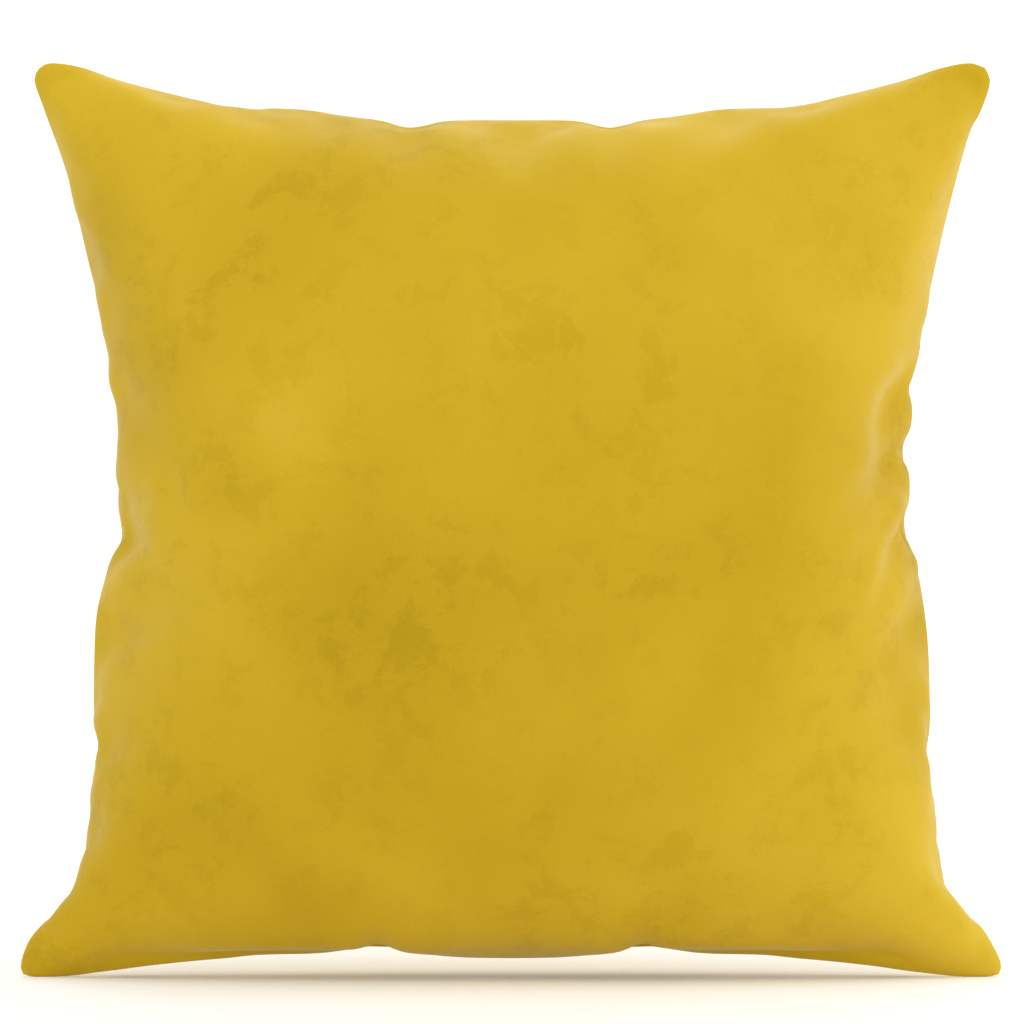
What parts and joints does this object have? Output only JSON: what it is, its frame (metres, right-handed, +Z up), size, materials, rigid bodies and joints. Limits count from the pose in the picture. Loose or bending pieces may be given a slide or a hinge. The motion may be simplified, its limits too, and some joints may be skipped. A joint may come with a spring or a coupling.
{
  "type": "throw pillow",
  "caption": "Square velvet throw pillow with pointed corners, a bottom zip with a sliding, hinged pull, and a loose fibre-filled insert inside the removable cover.",
  "frame": {"origin": "on the surface it stands on, under the middle of the seam plane", "axes": "+X to the pillow's right across its face, +Y to its back, +Z up its height"},
  "size_m": [0.396, 0.1502, 0.369],
  "materials": {
    "velvet": "short-pile polyester velvet with a soft sheen",
    "thread": "spun polyester sewing thread",
    "edging": "textured overlock yarn",
    "zip_tape": "woven polyester herringbone tape",
    "zip_coil": "dyed nylon monofilament coil",
    "zip_metal": "enamelled zinc die casting",
    "zip_stop": "bare stamped metal",
    "ribbon": "white satin ribbon, blank",
    "case_cotton": "plain-weave white cotton",
    "case_thread": "white cotton-wrapped thread",
    "fibre": "lofted polyester hollow fibre"
  },
  "bodies": {
    "cushion": {"cover_front_panel": "velvet", "cover_back_panel": "velvet", "seam_needle_thread": "thread", "seam_bobbin_thread": "thread", "seam_edging": "edging", "zip_tape_front": "zip_tape", "zip_tape_back": "zip_tape", "zip_coil_front": "zip_coil", "zip_coil_back": "zip_coil", "zip_top_stop_front": "zip_stop", "zip_top_stop_back": "zip_stop", "zip_bottom_stop": "zip_stop", "zip_stitch_front": "thread", "zip_stitch_back": "thread", "zip_bar_tack_left": "thread", "zip_bar_tack_right": "thread", "care_label": "ribbon", "insert_case_front": "case_cotton", "insert_case_back": "case_cotton", "insert_seam_thread": "case_thread", "insert_closing_stitch": "case_thread", "fibre_fill": "fibre"},
    "slider": {"zip_slider": "zip_metal"},
    "pull": {"zip_pull": "zip_metal"}
  },
  "joints": [
    {"name": "zip_slide", "type": "slide", "parent": "cushion", "child": "slider", "axis": [-1, 0, 0], "range_m": [0, 0.272]},
    {"name": "pull_hinge", "type": "hinge", "parent": "slider", "child": "pull", "pos_m": [0.136, 0, 0.01475], "axis": [0, -1, 0], "range_deg": [0, 150]}
  ]
}
